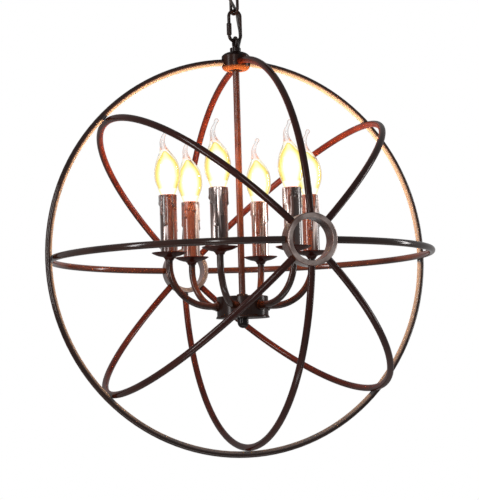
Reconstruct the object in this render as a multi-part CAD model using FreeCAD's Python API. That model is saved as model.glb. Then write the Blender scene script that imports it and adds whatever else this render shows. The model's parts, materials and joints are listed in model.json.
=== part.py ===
import FreeCAD, Part
import math
import os

from FreeCAD import Rotation, Vector

# Orb chandelier: a ball-shaped cage of round tube that hangs by a short chain from a ceiling canopy.
# Inside the cage a central stem carries a turned hub with six curved arms, each with a drip pan,
# a candle sleeve, a lampholder and a bent-tip bulb.
# Millimetres. The origin is on the ceiling, at the middle of the bracket. +Z is up, and the front
# is the side of -Y. Heights called "up" are measured from the centre of the ball.

# ---------------------------------------------------------------- driving dimensions
# Cage
ring_d = 600.0               # outside diameter of the outer ring, which stands in the XZ plane
tube_d = 10.0                # tube of the ring, the hoops, the arms and the stem
weld_gap = 0.25              # left between curved pieces that are welded to each other
end_ring_d = 73.0            # the short open cylinders in which the hoops end, front and back
end_ring_wall = 7.5
end_ring_depth = 26.0
end_ring_rounding = 3.0
hoop_tilts = {"horizontal_hoop": 0.0, "rising_hoop": 45.0, "falling_hoop": 135.0}

# Crown, where the ring, the vertical hoop and the stem meet
crown_d = 42.4
crown_h = 21.5
crown_drop = 12.0            # how far the crown reaches below the middle of the ring's tube
crown_dome_h = 6.0
crown_top_d = 18.4
crown_foot_d = 33.0          # the crown's lower edge is rounded in to this
crown_foot_h = 7.0           # over this height
crown_recess_d = 20.0        # the stem's upper nut sits in this recess
crown_recess_h = 3.0
rear_lean = 2.0              # degrees by which the vertical hoop's upper rear quarter leans to +X

# Stem and its nuts
tube_wall = 1.5
thread_gap = 0.1             # between a threaded end and what it screws into or passes through
nut_d = 16.4
nut_h = 3.6
stem_into_loop = 4.0
stem_into_finial = 7.0
stem_window_w = 6.0          # side opening by which the wires leave the stem, inside the hub
stem_window_h = 12.0

# Hub
hub_top = -59.6              # up from the ball's centre
hub_h = 32.6
hub_d = 77.0
hub_wall = 2.5
hub_rounding = 1.6
hub_foot_d = 80.0
hub_foot_h = 6.0
hub_foot_edge = 1.8
hub_cove = 0.3               # how hollow the cove over the foot is: 0.5 would be straight
cover_lip_h = 2.5            # the part of the cover that sits inside the hub's wall
cover_gap = 0.2
finial_d = 16.6
finial_neck_h = 6.5

# Arms
arm_count = 6
arm_turn = -35.2             # bearing of the first arm, in degrees from the front
candle_circle_r = 110.0
arm_bend_r = 62.0
arm_root = -74.0             # up, the arm's centre line at the hub
arm_flange_d = 15.0
arm_flange_h = 2.6
arm_inside = 6.0             # how far an arm reaches in past the hub's wall
arm_bore_over = 1.0          # how far the cut for an arm's bore runs past each end of the arm
arm_nut_h = 3.0
arm_nut_d = 14.0

# Drip pans and candle sleeves
pan_d = 52.0
pan_bottom = -4.0            # up
pan_h = 11.5
pan_floor = 8.0              # height of the flat seat over the pan's bottom
pan_seat_d = 31.0
pan_neck_d = 12.6
pan_edge = 0.8
pan_flare_d = 21.0           # where the neck's trumpet turns into the dish
pan_flare_h = 5.0            # and its height over the pan's bottom
pan_sag = 0.9                # how far the dish bulges below a straight cone
pan_trumpet = 0.9            # how far the neck's flare curves in from a straight cone
sleeve_d = 25.5
sleeve_wall = 1.5
sleeve_h = 89.6
sleeve_rounding = 1.0
drip_w = 5.6                 # width of a run of wax
drip_proud = 2.2             # how far a run stands out of the sleeve
drip_lengths = (46.0, 17.0, 31.0, 12.0, 38.0, 22.0, 53.0, 15.0)
drip_start = 3.0             # below the sleeve's top
drip_stagger = 17.0          # degrees by which runs stand off an even spacing

# Lampholders
holder_d = 21.8
holder_cup_h = 26.0
holder_bore_d = 14.0
holder_bore_h = 23.0
holder_below_sleeve = 9.5    # from the sleeve's top down to the holder's mouth
holder_stalk_d = 12.0
holder_foot_d = 16.0
holder_foot_h = 9.0
arm_into_holder = 6.0

# Bulbs. Heights are from the sleeve's top.
bulb_wall = 0.9
bulb_neck = -8.0
bulb_profile = (             # height, radius, sideways shift of the glass from neck to tail
    (-8.0, 9.0, 0.0), (0.0, 10.6, 0.0), (12.0, 15.4, 0.0), (27.0, 19.4, 0.0), (38.0, 19.0, 0.0),
    (50.0, 16.2, -0.3), (61.0, 10.2, -1.6), (71.0, 5.0, -3.6), (79.0, 3.8, -4.4), (87.0, 3.3, -3.4),
    (95.0, 3.0, -0.6))
bulb_hollow_top = 75.0       # the tail above this height is solid glass
bulb_bead_d = 6.8
bulb_cap_d = 13.2
bulb_cap_h = 20.0
bulb_contact_d = 6.0
bulb_contact_h = 2.2
filament_d = 3.0
filament_h = 34.0
filament_spread = 4.5        # from the bulb's axis to each filament
filament_post_h = 16.0
filament_sunk = 2.0          # how far the filaments reach below the top of their post
filament_bridge_d = 2.0      # the bar through the post that carries them

# Loops, quick link and chain
loop_wire_d = 5.0
loop_d = 20.0                # outside diameter of the loop on the crown
loop_sunk = 2.0              # how deep a loop is rooted in its collar
collar_d = 16.5
collar_h = 7.0
collar_edge = 0.8
canopy_loop_d = 22.0
canopy_collar_h = 8.0
hang_gap = 0.3               # between a link and the link that it hangs on
quick_wire_d = 5.0
quick_len = 52.0
quick_w = 23.0
quick_sleeve_d = 7.6
quick_sleeve_h = 18.0
quick_sleeve_shift = -5.0    # the sleeve's middle from the link's middle
quick_sleeve_gap = 0.08      # running clearance on the wire
quick_opening = 7.0          # gap in the link's side that the sleeve closes
quick_opening_up = 1.2       # from the sleeve's lower end to the gap
quick_sleeve_bevel = 0.6
link_wire_d = 4.5
link_len = 40.0
link_w = 21.0
link_count = 3
link_turns = (90.0, 0.0, -72.0)   # bearing of each link's plane, from the top, in degrees

# Canopy and ceiling bracket
canopy_d = 120.0
canopy_h = 26.0
canopy_wall = 1.2
canopy_flat_d = 70.0         # the flat middle of the canopy
canopy_side_h = 9.0
canopy_bulge = (0.72, 0.36)  # where its curved side passes, as shares of the way in and up
bracket_len = 96.0
bracket_w = 20.0
bracket_t = 2.5
bracket_leg = 5.0            # height of the stiffening lips along the bracket
bracket_slot_w = 5.5
bracket_slot_len = 12.0
bracket_slot_spacing = 70.0
nipple_h = 31.0              # from the ceiling to its lower end
nipple_top_gap = 0.5         # its upper end stays this far below the ceiling
nipple_nut_h = 3.0
nipple_nut_flats = 13.0
block_size = (22.0, 14.0, 9.0)    # terminal block: along Y, along X, height
block_ways = 3
block_hole_d = 3.2
block_screw_shift = 4.4      # from the block's middle to each row of screws
seat_gap = 0.3               # between a piece and the seat that it doesn't press on
cord_x = -20.0               # where the cord leaves the canopy
grommet_d = 10.0
grommet_h = 6.0
grommet_lip = 1.5

# Cords
cord_d = 4.4
cord_clear = 0.4
cord_into_loop = 3.0         # how deep the cord reaches into the crown's loop
lead_d = 3.0
lead_up = 40.0               # up, where a lamp's lead ends inside the lampholder's stalk
lead_inner_r = 22.0
connector_d = 10.0
connector_h = 13.0
connector_r = 18.0

# ---------------------------------------------------------------- derived sizes
tube_r = tube_d / 2
ring_r = ring_d / 2 - tube_r
hoop_r = ring_r - tube_d - weld_gap
stem_bore_r = tube_r - tube_wall
collar_base_up = ring_r - crown_drop + crown_h + crown_dome_h
loop_centre_up = collar_base_up + collar_h + loop_d / 2 - loop_sunk
quick_bottom_up = loop_centre_up + (loop_d - loop_wire_d) / 2 - loop_wire_d / 2 - quick_wire_d / 2 - hang_gap
quick_reach = quick_len - quick_wire_d
link_reach = link_len - link_wire_d
quick_top_up = quick_bottom_up + quick_reach
first_contact_up = quick_top_up - (quick_wire_d + link_wire_d) / 2 - hang_gap
link_pitch = link_reach - link_wire_d - hang_gap
last_link_top_up = first_contact_up + (link_count - 1) * link_pitch + link_reach
canopy_loop_bottom_up = last_link_top_up - (link_wire_d + loop_wire_d) / 2 - hang_gap
canopy_loop_up = canopy_loop_bottom_up + (canopy_loop_d - loop_wire_d) / 2
canopy_bottom_up = canopy_loop_up + canopy_loop_d / 2 - loop_sunk + canopy_collar_h
ball_z = -(canopy_bottom_up + canopy_h)
block_bottom = -bracket_t - bracket_leg - seat_gap - block_size[2]

BALL = Vector(0, 0, ball_z)
X = Vector(1, 0, 0)
Y = Vector(0, 1, 0)
Z = Vector(0, 0, 1)


def level(up):
    """The height over the ball's centre, as a height in the part's frame."""
    return ball_z + up


# The supply cord's route: from the terminal block out of the canopy, beside the upper links, through
# the lowest link, behind the quick link and into the crown's loop.
cord_points = [
    Vector(cord_x, 0, block_bottom - seat_gap),
    Vector(cord_x, 0, -39.0),
    Vector(-16.5, -1.5, -62.0),
    Vector(-15.0, -3.0, -93.0),
    Vector(-13.0, -3.5, -113.0),
    Vector(5.5, 5.0, -137.0),
    Vector(8.0, 8.0, -153.0),
    Vector(11.0, 7.5, -169.0),
    Vector(10.2, 6.2, -182.0),
    Vector(5.5, 1.5, -192.0),
    Vector(5.5, 1.5, level(collar_base_up + collar_h) - cord_into_loop),
]


# ---------------------------------------------------------------- helpers
def cylinder(r, h, base, axis=Z):
    return Part.makeCylinder(r, h, base, axis)


def tube(r_out, r_in, h, base, axis=Z):
    return cylinder(r_out, h, base, axis).cut(cylinder(r_in, h, base, axis))


def edges_of(points):
    """Straight edges from point to point, closed back to the first one."""
    ends = points[1:] + points[:1]
    return [Part.LineSegment(a, b).toShape() for a, b in zip(points, ends)]


def revolved(edges, centre=Vector(0, 0, 0), axis=Z):
    """A solid of revolution from the edges of a closed outline."""
    face = Part.Face(Part.Wire(Part.__sortEdges__(edges)))
    return face.revolve(centre, axis, 360)


def profile(points, base_z=0.0):
    """A turned piece from (radius, height) corners."""
    return revolved(edges_of([Vector(r, 0, base_z + h) for r, h in points]))


def circle_face(centre, normal, r):
    return Part.Face(Part.Wire(Part.Circle(centre, normal, r).toShape()))


def swept(path, r):
    """A round bar of radius r along a path of lines and tangent arcs."""
    start = path[0].firstVertex().Point
    first = path[0]
    direction = first.tangentAt(first.FirstParameter)
    ring = Part.Wire(Part.Circle(start, direction, r).toShape())
    return Part.Wire(path).makePipeShell([ring], True, False, 0)


def hexagon(flats, h, base):
    corner = flats / math.sqrt(3)
    points = [
        base + Vector(corner * math.cos(math.radians(60 * k)), corner * math.sin(math.radians(60 * k)), 0)
        for k in range(7)
    ]
    return Part.Face(Part.makePolygon(points)).extrude(Vector(0, 0, h))


def turned(shape, bearing, centre=Vector(0, 0, 0)):
    """A copy turned about the vertical through centre."""
    copy = shape.copy()
    copy.rotate(centre, Z, bearing)
    return copy


def cleaned(shape):
    return shape.removeSplitter()


# ---------------------------------------------------------------- cage
def hoop(centre, r, tilt):
    """A full hoop through the front and back of the ball, its plane tilted about the Y axis."""
    section = circle_face(centre + Vector(r, 0, 0), Y, tube_r)
    full = section.revolve(centre, Z, 360)
    full.rotate(centre, Y, -tilt)
    return full


def end_ring_space():
    """What the two end rings take out of a hoop, so that its tube is coped onto their walls."""
    r = end_ring_d / 2 + weld_gap
    return cylinder(r, 2 * ring_d, BALL - Y * ring_d, Y)


def crown_space():
    """What the crown takes out of the tubes that are welded to its side."""
    r = crown_d / 2 + weld_gap
    return cylinder(r, 6 * tube_d, BALL + Z * (ring_r - 3 * tube_d))


def make_outer_ring():
    section = circle_face(BALL + Vector(ring_r, 0, 0), Z, tube_r)
    full = section.revolve(BALL, Y, 360)
    return full.cut(crown_space())


def make_hoop(tilt):
    return hoop(BALL, hoop_r, tilt).cut(end_ring_space())


def make_vertical_hoop():
    """It ends in the crown level with the outer ring, and passes inside that ring at the bottom."""
    centre = BALL + Z * ((ring_r - hoop_r) / 2)
    full = hoop(centre, (ring_r + hoop_r) / 2, 90.0)
    rear = Part.makeBox(ring_d, ring_d, ring_d, BALL - X * (ring_d / 2))
    quarter = full.common(rear)
    quarter.rotate(BALL, Y, rear_lean)
    quarter = quarter.cut(end_ring_space()).cut(crown_space())
    rest = full.cut(rear).cut(end_ring_space()).cut(crown_space())
    return Part.Compound(rest.Solids + quarter.Solids)


def make_end_ring(side):
    """side is -1 at the front and 1 at the back."""
    middle = hoop_r * math.cos(math.asin(end_ring_d / 2 / hoop_r))
    base = BALL + Y * (side * middle - end_ring_depth / 2)
    ring = tube(end_ring_d / 2, end_ring_d / 2 - end_ring_wall, end_ring_depth, base, Y)
    rims = [e for e in ring.Edges if isinstance(e.Curve, Part.Circle)]
    outer = [e for e in rims if e.Curve.Radius > end_ring_d / 2 - end_ring_wall / 2]
    inner = [e for e in rims if e not in outer]
    return ring.makeFillet(end_ring_rounding, outer).makeFillet(end_ring_rounding / 3, inner)


# ---------------------------------------------------------------- crown and stem
def make_crown_boss():
    """A turned boss with a domed top, a rounded foot and a recess for the nut below it."""
    r = crown_d / 2
    foot_r = crown_foot_d / 2
    recess_r = crown_recess_d / 2
    neck_r = crown_top_d / 2
    bore = tube_r + thread_gap
    low = level(ring_r - crown_drop)
    shoulder = low + crown_h
    top = shoulder + crown_dome_h
    seat = low + crown_recess_h
    dome_r = ((r - neck_r) ** 2 + crown_dome_h ** 2) / (2 * crown_dome_h)
    half_angle = math.asin((r - neck_r) / dome_r) / 2
    dome_mid = Vector(neck_r + dome_r * math.sin(half_angle), 0, top - dome_r * (1 - math.cos(half_angle)))
    foot = Vector(foot_r, 0, low)
    side = Vector(r, 0, low + crown_foot_h)
    foot_mid = side + (foot - side) * 0.5 + Vector(1, 0, -1) * ((r - foot_r) / 5)
    neck = Vector(neck_r, 0, top)
    corners = [neck, Vector(bore, 0, top), Vector(bore, 0, seat), Vector(recess_r, 0, seat),
               Vector(recess_r, 0, low), foot]
    edges = [Part.LineSegment(a, b).toShape() for a, b in zip(corners, corners[1:])]
    edges.append(Part.Arc(foot, foot_mid, side).toShape())
    edges.append(Part.LineSegment(side, Vector(r, 0, shoulder)).toShape())
    edges.append(Part.Arc(Vector(r, 0, shoulder), dome_mid, neck).toShape())
    return revolved(edges)


def nut(base):
    """A round nut with a chamfered edge, on the stem's thread."""
    r = nut_d / 2
    bevel = nut_h / 4
    bore = tube_r + thread_gap
    corners = [(bore, 0), (r - bevel, 0), (r, bevel), (r, nut_h - bevel), (r - bevel, nut_h), (bore, nut_h)]
    return profile(corners, base)


def make_stem_nuts():
    """One nut clamps the crown from inside its recess, and one sits on the hub's top."""
    seat = level(ring_r - crown_drop + crown_recess_h)
    return Part.Compound([nut(seat - nut_h), nut(level(hub_top))])


stem_top = level(collar_base_up + stem_into_loop)
stem_bottom = level(hub_top - hub_h - stem_into_finial)


def make_stem_tube():
    stem = tube(tube_r, stem_bore_r, stem_top - stem_bottom, Vector(0, 0, stem_bottom))
    window = Part.makeBox(
        tube_d, stem_window_w, stem_window_h,
        Vector(0, -stem_window_w / 2, level(arm_root) - stem_window_h / 2))
    return stem.cut(window)


def make_stem_lead():
    """The cord's inner run, from the crown down to the window in the stem."""
    base = Vector(0, 0, level(arm_root))
    return cylinder(cord_d / 2, stem_top - base.z, base)


# ---------------------------------------------------------------- hub
def make_hub_body():
    """A turned cup, open below, with a hole for each arm and one for the stem."""
    r = hub_d / 2
    low = level(hub_top - hub_h + hub_foot_h)
    h = hub_h - hub_foot_h
    cup = cylinder(r, h, Vector(0, 0, low))
    rim = [e for e in cup.Edges if isinstance(e.Curve, Part.Circle) and e.Curve.Center.z > low + h / 2]
    cup = cup.makeFillet(hub_rounding, rim)
    cup = cup.cut(cylinder(r - hub_wall, h - hub_wall, Vector(0, 0, low)))
    cup = cup.cut(cylinder(tube_r + thread_gap, 2 * h, Vector(0, 0, low)))
    for k in range(arm_count):
        hole = cylinder(tube_r + thread_gap, hub_d, Vector(0, 0, level(arm_root)), -Y)
        cup = cup.cut(turned(hole, arm_bearing(k)))
    return cup


def make_hub_cover():
    """The cover and flared foot: a cove under the hub's wall, and a lip that centres it."""
    r = hub_d / 2
    foot = hub_foot_d / 2
    low = level(hub_top - hub_h)
    seat = low + hub_foot_h
    lip = r - hub_wall - cover_gap
    bore = tube_r + thread_gap
    cove_end = Vector(foot, 0, low + hub_foot_edge)
    cove_start = Vector(r, 0, seat)
    cove_mid = Vector(r + (foot - r) * hub_cove, 0, cove_end.z + (seat - cove_end.z) * hub_cove)
    corners = [cove_start, Vector(lip, 0, seat), Vector(lip, 0, seat + cover_lip_h),
               Vector(lip - hub_wall, 0, seat + cover_lip_h), Vector(lip - hub_wall, 0, low + hub_wall),
               Vector(bore, 0, low + hub_wall), Vector(bore, 0, low), Vector(foot, 0, low), cove_end]
    edges = [Part.LineSegment(a, b).toShape() for a, b in zip(corners, corners[1:])]
    edges.append(Part.Arc(cove_end, cove_mid, cove_start).toShape())
    return revolved(edges)


def make_finial():
    """A button that screws onto the stem's lower end and holds the cover."""
    r = finial_d / 2
    top = level(hub_top - hub_h)
    waist = top - finial_neck_h
    tip = waist - r
    diagonal = r * math.sqrt(0.5)
    edges = [
        Part.LineSegment(Vector(0, 0, top), Vector(r, 0, top)).toShape(),
        Part.LineSegment(Vector(r, 0, top), Vector(r, 0, waist)).toShape(),
        Part.Arc(Vector(r, 0, waist), Vector(diagonal, 0, waist - diagonal), Vector(0, 0, tip)).toShape(),
        Part.LineSegment(Vector(0, 0, tip), Vector(0, 0, top)).toShape()]
    depth = top - stem_bottom + thread_gap
    return revolved(edges).cut(cylinder(tube_r + thread_gap, depth, Vector(0, 0, top - depth)))


def make_wire_connectors():
    """Two closed connectors, which join the lamps' leads to the cord, one each side of the stem."""
    low = level(hub_top - hub_h) + hub_wall + cover_gap
    caps = [cylinder(connector_d / 2, connector_h, Vector(side * connector_r, 0, low)) for side in (-1, 1)]
    rounded = []
    for cap in caps:
        top = [e for e in cap.Edges if isinstance(e.Curve, Part.Circle) and e.Curve.Center.z > low + 1]
        rounded.append(cap.makeFillet(connector_d / 4, top))
    return Part.Compound(rounded)


# ---------------------------------------------------------------- arms
def arm_bearing(k):
    """Degrees about the vertical from the front to arm k."""
    return arm_turn + k * 360.0 / arm_count


def arm_path(inner_r, top_up):
    """Out of the hub, round one quarter bend and straight up. It lies in the plane of the front arm."""
    z = level(arm_root)
    bend = candle_circle_r - arm_bend_r
    centre = Vector(0, -bend, z + arm_bend_r)
    middle = centre + Vector(0, -math.sqrt(0.5), -math.sqrt(0.5)) * arm_bend_r
    foot = Vector(0, -candle_circle_r, z + arm_bend_r)
    return [
        Part.LineSegment(Vector(0, -inner_r, z), Vector(0, -bend, z)).toShape(),
        Part.Arc(Vector(0, -bend, z), middle, foot).toShape(),
        Part.LineSegment(foot, Vector(0, -candle_circle_r, level(top_up))).toShape()]


arm_top_up = pan_bottom + pan_floor + arm_into_holder


def make_arm():
    inner_r = hub_d / 2 - hub_wall - arm_inside
    outside = swept(arm_path(inner_r, arm_top_up), tube_r)
    bore = swept(arm_path(inner_r - arm_bore_over, arm_top_up + arm_bore_over), stem_bore_r)
    root = Vector(0, -hub_d / 2 + hub_wall, level(arm_root))
    flange = cylinder(arm_flange_d / 2, hub_wall + arm_flange_h, root, -Y)
    hub_space = cylinder(hub_d / 2 + thread_gap, 2 * arm_flange_d, Vector(0, 0, root.z - arm_flange_d))
    return outside.fuse(flange.cut(hub_space)).cut(bore)


def make_arm_nut():
    """It clamps the arm to the hub's wall from inside."""
    wall = math.sqrt((hub_d / 2 - hub_wall) ** 2 - (arm_nut_d / 2) ** 2) - thread_gap
    base = Vector(0, -wall + arm_nut_h, level(arm_root))
    return tube(arm_nut_d / 2, tube_r + thread_gap, arm_nut_h, base, -Y)


def make_lamp_lead():
    return swept(arm_path(lead_inner_r, lead_up), lead_d / 2)


def at_candle(shape, k):
    """A piece made round the Z axis, moved to candle k."""
    copy = shape.copy()
    copy.translate(Vector(0, -candle_circle_r, 0))
    return turned(copy, arm_bearing(k))


def bulb_at_candle(shape, k):
    """A bulb on candle k. The tails of all the bulbs bend to the same side."""
    place = turned(Part.Vertex(0, -candle_circle_r, sleeve_top), arm_bearing(k)).Point
    copy = shape.copy()
    copy.translate(place)
    return copy


# ---------------------------------------------------------------- candles
def make_drip_pan():
    """A shallow spun dish with a thin rim and a neck that sits on the arm."""
    low = level(pan_bottom)
    r = pan_d / 2
    bore = tube_r + thread_gap
    rim = Vector(r, 0, low + pan_h)
    rim_low = Vector(r, 0, low + pan_h - pan_edge)
    neck = Vector(pan_neck_d / 2, 0, low)
    flare = Vector(pan_flare_d / 2, 0, low + pan_flare_h)
    trumpet = neck + (flare - neck) * 0.5 + Vector(-1, 0, 1).normalize() * pan_trumpet
    dish = flare + (rim_low - flare) * 0.5 - Z * pan_sag
    seat = Vector(pan_seat_d / 2, 0, low + pan_floor)
    edges = [
        Part.Arc(neck, trumpet, flare).toShape(),
        Part.Arc(flare, dish, rim_low).toShape(),
        Part.LineSegment(rim_low, rim).toShape(),
        Part.LineSegment(rim, seat).toShape(),
        Part.LineSegment(seat, Vector(bore, 0, low + pan_floor)).toShape(),
        Part.LineSegment(Vector(bore, 0, low + pan_floor), Vector(bore, 0, low)).toShape(),
        Part.LineSegment(Vector(bore, 0, low), neck).toShape()]
    return revolved(edges)


sleeve_low = level(pan_bottom + pan_floor)
sleeve_top = sleeve_low + sleeve_h


def drip(bearing, length):
    """A run of wax: a half-round ridge down the sleeve that ends in a drop."""
    r = drip_w / 2
    axis = Vector(sleeve_d / 2 + drip_proud - r, 0, 0)
    high = sleeve_top - drip_start
    ridge = cylinder(r, length, axis + Z * (high - length))
    low_drop = Part.makeSphere(r, axis + Z * (high - length))
    shoulder = Part.makeSphere(r, axis + Z * high)
    return turned(ridge.fuse([low_drop, shoulder]), bearing)


def make_candle_sleeve(k):
    """A plain tube with runs of wax down it, another set of lengths on each candle."""
    body = cylinder(sleeve_d / 2, sleeve_h, Vector(0, 0, sleeve_low))
    rim = [e for e in body.Edges if isinstance(e.Curve, Part.Circle) and e.Curve.Center.z > sleeve_top - 1]
    body = body.makeFillet(sleeve_rounding, rim)
    count = len(drip_lengths)
    runs = []
    for n in range(count):
        length = drip_lengths[(n * 3 + k) % count]
        bearing = 360.0 * n / count + drip_stagger * ((n * 5 + k) % 3 - 1)
        runs.append(drip(bearing, length))
    body = body.fuse(runs)
    bore = cylinder(sleeve_d / 2 - sleeve_wall, sleeve_h + drip_w, Vector(0, 0, sleeve_low))
    return body.cut(bore)


def make_lampholder():
    """A cup for the bulb's cap on a hollow stalk, screwed onto the arm's end."""
    mouth = sleeve_top - holder_below_sleeve
    cup_low = mouth - holder_cup_h
    foot_low = sleeve_low
    cup = cylinder(holder_d / 2, holder_cup_h, Vector(0, 0, cup_low))
    stalk = cylinder(holder_stalk_d / 2, cup_low - foot_low, Vector(0, 0, foot_low))
    foot = cylinder(holder_foot_d / 2, holder_foot_h, Vector(0, 0, foot_low))
    body = cup.fuse([stalk, foot])
    body = body.cut(cylinder(holder_bore_d / 2, holder_bore_h, Vector(0, 0, mouth - holder_bore_h)))
    thread = cylinder(tube_r + thread_gap, arm_into_holder + thread_gap, Vector(0, 0, foot_low))
    wire_way = cylinder(stem_bore_r, level(lead_up) + seat_gap - foot_low, Vector(0, 0, foot_low))
    return cleaned(body.cut(thread).cut(wire_way))


def bulb_ring(height, r, shift):
    return Part.Wire(Part.Circle(Vector(shift, 0, height), Z, r).toShape())


def make_bulb():
    """Blown glass with a bent tail, its screw cap, and two lit filaments on a post inside.

    The origin is on the bulb's axis, level with the sleeve's top.
    """
    outside = Part.makeLoft([bulb_ring(*row) for row in bulb_profile], True, False)
    inner = [(h, r - bulb_wall, s) for h, r, s in bulb_profile if h < bulb_hollow_top]
    inner[0] = (inner[0][0] + bulb_wall, inner[0][1], inner[0][2])
    glass = outside.cut(Part.makeLoft([bulb_ring(*row) for row in inner], True, False))
    tail = bulb_profile[-1]
    bead = Part.makeSphere(bulb_bead_d / 2, Vector(tail[2], 0, tail[0] + bulb_bead_d / 4))
    glass = glass.fuse(bead)
    cap_low = bulb_neck - bulb_cap_h
    cap = cylinder(bulb_cap_d / 2, bulb_cap_h, Vector(0, 0, cap_low))
    contact = cylinder(bulb_contact_d / 2, bulb_contact_h, Vector(0, 0, cap_low - bulb_contact_h))
    post_low = bulb_neck + bulb_wall
    post = Part.makeCone(bulb_cap_d / 3, filament_d / 2, filament_post_h, Vector(0, 0, post_low))
    filament_low = post_low + filament_post_h - filament_sunk
    filaments = [
        cylinder(filament_d / 2, filament_h, Vector(side * filament_spread, 0, filament_low))
        for side in (-1, 1)]
    bridge_start = Vector(-filament_spread, 0, filament_low + filament_d / 2)
    bridge = cylinder(filament_bridge_d / 2, 2 * filament_spread, bridge_start, X)
    return Part.Compound([glass, cap.fuse(contact), post.fuse([bridge] + filaments)])


# ---------------------------------------------------------------- loops, chain and quick link
def stadium(reach, width, wire_d, middle):
    """A closed link of round wire in the XZ plane. reach and width are over the wire's centre line."""
    r = width / 2
    straight = reach - width
    section = circle_face(middle + Vector(r, 0, straight / 2), Z, wire_d / 2)
    top = section.revolve(middle + Z * (straight / 2), -Y, 180)
    bottom = top.copy()
    bottom.rotate(middle, Y, 180)
    sides = [cylinder(wire_d / 2, straight, middle + Vector(side * r, 0, -straight / 2)) for side in (-1, 1)]
    return top.fuse([bottom] + sides)


def loop_ring(outer_d, middle):
    """An upright ring in the XZ plane."""
    section = circle_face(middle + X * ((outer_d - loop_wire_d) / 2), Z, loop_wire_d / 2)
    return section.revolve(middle, Y, 360)


def collar(h, base):
    """A round collar with bevelled edges."""
    body = cylinder(collar_d / 2, h, base)
    rims = [e for e in body.Edges if isinstance(e.Curve, Part.Circle)]
    return body.makeChamfer(collar_edge, rims)


def make_fixture_loop():
    """A ring that stands in the YZ plane on a round collar, with a way in for the cord."""
    base = Vector(0, 0, level(collar_base_up))
    ring = turned(loop_ring(loop_d, Vector(0, 0, level(loop_centre_up))), 90.0)
    body = collar(collar_h, base).fuse(ring)
    thread = cylinder(tube_r + thread_gap, stem_into_loop + thread_gap, base)
    end = cord_points[-1]
    way = cylinder(cord_d / 2 + cord_clear / 2, collar_h, Vector(end.x, end.y, base.z + stem_into_loop))
    return body.cut(thread).cut(way)


def link_middle_up(n):
    """Up to the middle of chain link n, counted from 1 at the top."""
    return first_contact_up + (link_count - n) * link_pitch + link_reach / 2


def make_chain_link(n):
    middle = Vector(0, 0, level(link_middle_up(n)))
    link = stadium(link_reach, link_w - link_wire_d, link_wire_d, middle)
    return turned(link, link_turns[n - 1])


quick_middle = Vector(0, 0, level((quick_top_up + quick_bottom_up) / 2))
quick_side_x = -(quick_w - quick_wire_d) / 2


def make_quick_link():
    link = stadium(quick_reach, quick_w - quick_wire_d, quick_wire_d, quick_middle)
    low = quick_middle.z + quick_sleeve_shift - quick_sleeve_h / 2 + quick_opening_up
    gap = Part.makeBox(
        2 * quick_wire_d, 2 * quick_wire_d, quick_opening,
        Vector(quick_side_x - quick_wire_d, -quick_wire_d, low))
    return link.cut(gap)


def make_quick_link_sleeve():
    low = quick_middle.z + quick_sleeve_shift - quick_sleeve_h / 2
    base = Vector(quick_side_x, 0, low)
    sleeve = cylinder(quick_sleeve_d / 2, quick_sleeve_h, base)
    ends = [e for e in sleeve.Edges if isinstance(e.Curve, Part.Circle)]
    sleeve = sleeve.makeChamfer(quick_sleeve_bevel, ends)
    return sleeve.cut(cylinder(quick_wire_d / 2 + quick_sleeve_gap, quick_sleeve_h, base))


# ---------------------------------------------------------------- canopy and bracket
def canopy_outline(inset):
    """The outer or, with an inset, the inner outline of the cup, from its rim to its middle."""
    r = canopy_d / 2 - inset
    flat = canopy_flat_d / 2 - inset
    floor = -canopy_h + inset
    side = -canopy_side_h
    corner = Vector(r, 0, 0)
    side_end = Vector(r, 0, side)
    shoulder = Vector(flat, 0, floor)
    out, over = canopy_bulge
    bulge = Vector(flat + (r - flat) * out, 0, floor + (side - floor) * over)
    edges = [
        Part.LineSegment(corner, side_end).toShape(),
        Part.Arc(side_end, bulge, shoulder).toShape(),
        Part.LineSegment(shoulder, Vector(0, 0, floor)).toShape()]
    return edges


def make_canopy():
    """A spun cup whose rim meets the ceiling."""
    cups = []
    for inset in (0.0, canopy_wall):
        edges = canopy_outline(inset)
        edges.append(Part.LineSegment(Vector(0, 0, -canopy_h + inset), Vector(0, 0, 0)).toShape())
        edges.append(Part.LineSegment(Vector(0, 0, 0), Vector(canopy_d / 2 - inset, 0, 0)).toShape())
        cups.append(revolved(edges))
    cup = cups[0].cut(cups[1])
    cup = cup.cut(cylinder(tube_r + thread_gap, canopy_h, Vector(0, 0, -canopy_h)))
    return cup.cut(cylinder(grommet_d / 2, canopy_h, Vector(cord_x, 0, -canopy_h)))


def make_ceiling_bracket():
    """A folded strap with two slots for the ceiling's screws and a hole for the nipple."""
    half = bracket_len / 2
    plate = Part.makeBox(bracket_len, bracket_w, bracket_t, Vector(-half, -bracket_w / 2, -bracket_t))
    lips = [
        Part.makeBox(bracket_len, bracket_t, bracket_leg,
                     Vector(-half, y, -bracket_t - bracket_leg))
        for y in (-bracket_w / 2, bracket_w / 2 - bracket_t)]
    bracket = plate.fuse(lips)
    for side in (-1, 1):
        x = side * bracket_slot_spacing / 2
        half_run = (bracket_slot_len - bracket_slot_w) / 2
        corner = Vector(x - half_run, -bracket_slot_w / 2, -bracket_t)
        slot = Part.makeBox(2 * half_run, bracket_slot_w, bracket_t, corner)
        middles = [Vector(x - half_run, 0, -bracket_t), Vector(x + half_run, 0, -bracket_t)]
        ends = [cylinder(bracket_slot_w / 2, bracket_t, middle) for middle in middles]
        bracket = bracket.cut(slot.fuse(ends))
    bracket = bracket.cut(cylinder(tube_r + thread_gap, bracket_t, Vector(0, 0, -bracket_t)))
    return cleaned(bracket)


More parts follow.
